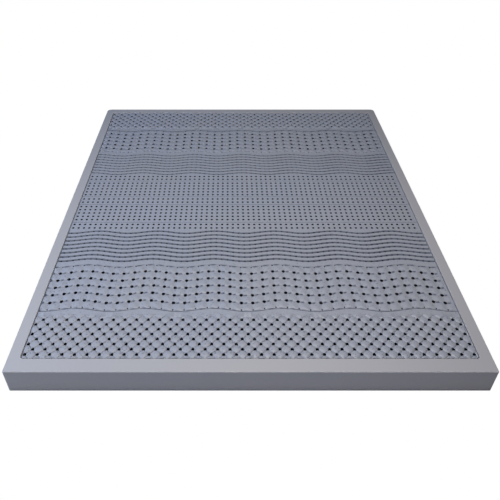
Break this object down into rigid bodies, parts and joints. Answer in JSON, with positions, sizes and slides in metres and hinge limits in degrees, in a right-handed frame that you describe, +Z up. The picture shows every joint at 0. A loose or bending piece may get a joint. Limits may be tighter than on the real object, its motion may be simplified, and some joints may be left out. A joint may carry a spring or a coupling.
{
  "type": "latex mattress core",
  "caption": "Flat moulded latex mattress core with a plain raised rim round a sunk field of pin holes, pillows, wavy ribs and bands.",
  "frame": {"origin": "middle of the flat underside", "axes": "+X across the bed, +Y along the bed from the foot to the head, +Z up out of the side with the moulded field"},
  "size_m": [1.8, 2, 0.115],
  "materials": {
    "latex": "satin"
  },
  "bodies": {
    "root": {"core": "latex"}
  },
  "joints": []
}
